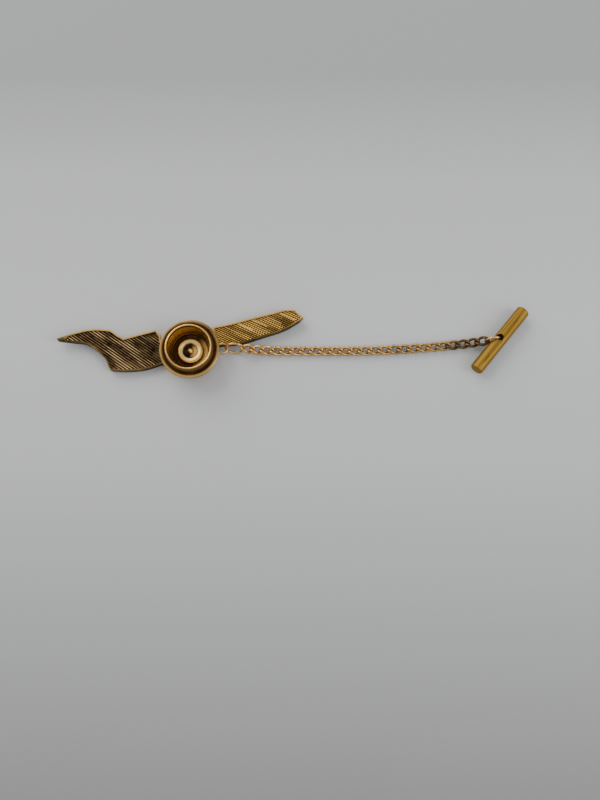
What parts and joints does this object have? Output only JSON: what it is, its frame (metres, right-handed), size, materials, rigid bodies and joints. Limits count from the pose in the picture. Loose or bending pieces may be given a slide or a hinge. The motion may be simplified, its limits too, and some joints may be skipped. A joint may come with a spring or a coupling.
{
  "type": "wings tack pin with safety chain",
  "caption": "Gilt wings tack pin lying face down, with a locking clutch on its post, a curb safety chain and a toggle bar.",
  "frame": {"origin": "on the post's axis, at the level of the wing plate's front face, on which the pin lies", "axes": "+Z along the post from the front face into the clutch; +X from the post along the safety chain towards the toggle bar; +Y across, to the side the right wing rises to"},
  "size_m": [0.0864, 0.0141, 0.0056],
  "materials": {
    "antique_gold": "gilt die-struck sheet, darkened in the recesses",
    "bright_gold": "polished gilt",
    "chain_gold": "worn polished gilt wire",
    "tarnished_brass": "gilt worn away, dark tarnish",
    "bar_brass": "satin drawn brass",
    "ball_steel": "hardened ball, polished",
    "spring_wire": "drawn spring wire"
  },
  "bodies": {
    "pin": {"wing_plate": "antique_gold", "post": "bright_gold"},
    "clutch_carrier": {"clutch_spring": "spring_wire"},
    "clutch": {"clutch_base": "antique_gold", "clutch_shell": "antique_gold", "clutch_loop": "bright_gold"},
    "plunger": {"ball_cage": "bright_gold", "locking_balls": "ball_steel", "release_knob": "bright_gold"},
    "jump_ring": {"jump_ring": "bright_gold"},
    "chain_link_01": {"chain_link_01": "chain_gold"},
    "chain_link_02": {"chain_link_02": "chain_gold"},
    "chain_link_03": {"chain_link_03": "chain_gold"},
    "chain_link_04": {"chain_link_04": "chain_gold"},
    "chain_link_05": {"chain_link_05": "chain_gold"},
    "chain_link_06": {"chain_link_06": "chain_gold"},
    "chain_link_07": {"chain_link_07": "chain_gold"},
    "chain_link_08": {"chain_link_08": "chain_gold"},
    "chain_link_09": {"chain_link_09": "chain_gold"},
    "chain_link_10": {"chain_link_10": "chain_gold"},
    "chain_link_11": {"chain_link_11": "chain_gold"},
    "chain_link_12": {"chain_link_12": "chain_gold"},
    "chain_link_13": {"chain_link_13": "chain_gold"},
    "chain_link_14": {"chain_link_14": "chain_gold"},
    "chain_link_15": {"chain_link_15": "chain_gold"},
    "chain_link_16": {"chain_link_16": "chain_gold"},
    "chain_link_17": {"chain_link_17": "chain_gold"},
    "chain_link_18": {"chain_link_18": "chain_gold"},
    "chain_link_19": {"chain_link_19": "chain_gold"},
    "chain_link_20": {"chain_link_20": "chain_gold"},
    "chain_link_21": {"chain_link_21": "chain_gold"},
    "chain_link_22": {"chain_link_22": "tarnished_brass"},
    "chain_link_23": {"chain_link_23": "tarnished_brass"},
    "chain_link_24": {"chain_link_24": "tarnished_brass"},
    "chain_link_25": {"chain_link_25": "tarnished_brass"},
    "end_ring": {"end_ring": "bright_gold"},
    "toggle_bar": {"toggle_bar": "bar_brass"}
  },
  "joints": [
    {"name": "clutch_pull", "type": "slide", "parent": "pin", "child": "clutch_carrier", "axis": [0, 0, 1], "range_m": [0, 0.008]},
    {"name": "clutch_swivel", "type": "hinge", "parent": "clutch_carrier", "child": "clutch", "pos_m": [0, 0, 0], "axis": [0, 0, 1], "range_deg": [-140, 0]},
    {"name": "clutch_release", "type": "slide", "parent": "clutch", "child": "plunger", "axis": [0, 0, 1], "range_m": [0, 0.0003], "stiffness_N_per_m": 300, "springref_m": -0.0005, "deforming": ["clutch_spring"]},
    {"name": "jump_ring_swing", "type": "hinge", "parent": "clutch", "child": "jump_ring", "pos_m": [0.00663, 0.0007, 0.002], "axis": [0.1045, -0.9945, 0], "range_deg": [-20, 45]},
    {"name": "end_ring_swing", "type": "hinge", "parent": "chain_link_25", "child": "end_ring", "pos_m": [0.05373, 0.00231, 0.00153], "axis": [0, 0, -1], "range_deg": [-35, 35]},
    {"name": "bar_fold", "type": "hinge", "parent": "end_ring", "child": "toggle_bar", "pos_m": [0.05631, 0.00262, 0.00153], "axis": [0, 0, 1], "range_deg": [-1, 45]},
    {"name": "link_01", "type": "hinge", "parent": "jump_ring", "child": "chain_link_01", "pos_m": [0.00961, 0.0007, 0.002], "axis": [0, 0.2079, 0.9781], "range_deg": [-35, 24]},
    {"name": "link_02", "type": "hinge", "parent": "chain_link_01", "child": "chain_link_02", "pos_m": [0.01082, 0.00065, 0.00138], "axis": [-0.1572, 0.7118, -0.6845], "range_deg": [-35, 35]},
    {"name": "link_03", "type": "hinge", "parent": "chain_link_02", "child": "chain_link_03", "pos_m": [0.01309, 0.00059, 0.00079], "axis": [-0.1972, -0.7018, -0.6845], "range_deg": [-35, 35]},
    {"name": "link_04", "type": "hinge", "parent": "chain_link_03", "child": "chain_link_04", "pos_m": [0.01434, 0.00055, 0.0007], "axis": [0.0159, -0.7073, 0.7067], "range_deg": [-35, 35]},
    {"name": "link_05", "type": "hinge", "parent": "chain_link_04", "child": "chain_link_05", "pos_m": [0.01668, 0.00053, 0.00062], "axis": [0.0295, 0.7069, 0.7067], "range_deg": [-35, 35]},
    {"name": "link_06", "type": "hinge", "parent": "chain_link_05", "child": "chain_link_06", "pos_m": [0.01793, 0.00053, 0.00062], "axis": [-0.0009, 0.7071, -0.7071], "range_deg": [-35, 35]},
    {"name": "link_07", "type": "hinge", "parent": "chain_link_06", "child": "chain_link_07", "pos_m": [0.02028, 0.00053, 0.00062], "axis": [-0.0016, -0.7071, -0.7071], "range_deg": [-35, 35]},
    {"name": "link_08", "type": "hinge", "parent": "chain_link_07", "child": "chain_link_08", "pos_m": [0.02153, 0.00053, 0.00062], "axis": [0, -0.7071, 0.7071], "range_deg": [-35, 35]},
    {"name": "link_09", "type": "hinge", "parent": "chain_link_08", "child": "chain_link_09", "pos_m": [0.02387, 0.00053, 0.00062], "axis": [0.0001, 0.7071, 0.7071], "range_deg": [-35, 35]},
    {"name": "link_10", "type": "hinge", "parent": "chain_link_09", "child": "chain_link_10", "pos_m": [0.02512, 0.00053, 0.00062], "axis": [0, 0.7071, -0.7071], "range_deg": [-35, 35]},
    {"name": "link_11", "type": "hinge", "parent": "chain_link_10", "child": "chain_link_11", "pos_m": [0.02747, 0.00053, 0.00062], "axis": [0, -0.7071, -0.7071], "range_deg": [-35, 35]},
    {"name": "link_12", "type": "hinge", "parent": "chain_link_11", "child": "chain_link_12", "pos_m": [0.02871, 0.00053, 0.00062], "axis": [0.0098, -0.707, 0.7071], "range_deg": [-35, 35]},
    {"name": "link_13", "type": "hinge", "parent": "chain_link_12", "child": "chain_link_13", "pos_m": [0.03106, 0.00057, 0.00062], "axis": [-0.0098, 0.707, 0.7071], "range_deg": [-35, 35]},
    {"name": "link_14", "type": "hinge", "parent": "chain_link_13", "child": "chain_link_14", "pos_m": [0.03231, 0.0006, 0.00062], "axis": [-0.0243, 0.7067, -0.7071], "range_deg": [-35, 35]},
    {"name": "link_15", "type": "hinge", "parent": "chain_link_14", "child": "chain_link_15", "pos_m": [0.03465, 0.00068, 0.00062], "axis": [0.0243, -0.7067, -0.7071], "range_deg": [-35, 35]},
    {"name": "link_16", "type": "hinge", "parent": "chain_link_15", "child": "chain_link_16", "pos_m": [0.0359, 0.00074, 0.00062], "axis": [0.0371, -0.7061, 0.7071], "range_deg": [-35, 35]},
    {"name": "link_17", "type": "hinge", "parent": "chain_link_16", "child": "chain_link_17", "pos_m": [0.03824, 0.00087, 0.00062], "axis": [-0.0371, 0.7061, 0.7071], "range_deg": [-35, 35]},
    {"name": "link_18", "type": "hinge", "parent": "chain_link_17", "child": "chain_link_18", "pos_m": [0.03949, 0.00095, 0.00062], "axis": [-0.0488, 0.7054, -0.7071], "range_deg": [-35, 35]},
    {"name": "link_19", "type": "hinge", "parent": "chain_link_18", "child": "chain_link_19", "pos_m": [0.04183, 0.00111, 0.00062], "axis": [0.0488, -0.7054, -0.7071], "range_deg": [-35, 35]},
    {"name": "link_20", "type": "hinge", "parent": "chain_link_19", "child": "chain_link_20", "pos_m": [0.04307, 0.00121, 0.00062], "axis": [0.0597, -0.7046, 0.7071], "range_deg": [-35, 35]},
    {"name": "link_21", "type": "hinge", "parent": "chain_link_20", "child": "chain_link_21", "pos_m": [0.04541, 0.00141, 0.00062], "axis": [-0.0597, 0.7046, 0.7071], "range_deg": [-35, 35]},
    {"name": "link_22", "type": "hinge", "parent": "chain_link_21", "child": "chain_link_22", "pos_m": [0.04665, 0.00153, 0.00062], "axis": [-0.0701, 0.7036, -0.7071], "range_deg": [-35, 35]},
    {"name": "link_23", "type": "hinge", "parent": "chain_link_22", "child": "chain_link_23", "pos_m": [0.04899, 0.00176, 0.00062], "axis": [0.0701, -0.7036, -0.7071], "range_deg": [-35, 35]},
    {"name": "link_24", "type": "hinge", "parent": "chain_link_23", "child": "chain_link_24", "pos_m": [0.05022, 0.00189, 0.00068], "axis": [-0.0172, -0.7136, 0.7003], "range_deg": [-35, 35]},
    {"name": "link_25", "type": "hinge", "parent": "chain_link_24", "child": "chain_link_25", "pos_m": [0.05253, 0.00216, 0.001], "axis": [-0.1773, 0.6915, 0.7003], "range_deg": [-35, 35]}
  ]
}
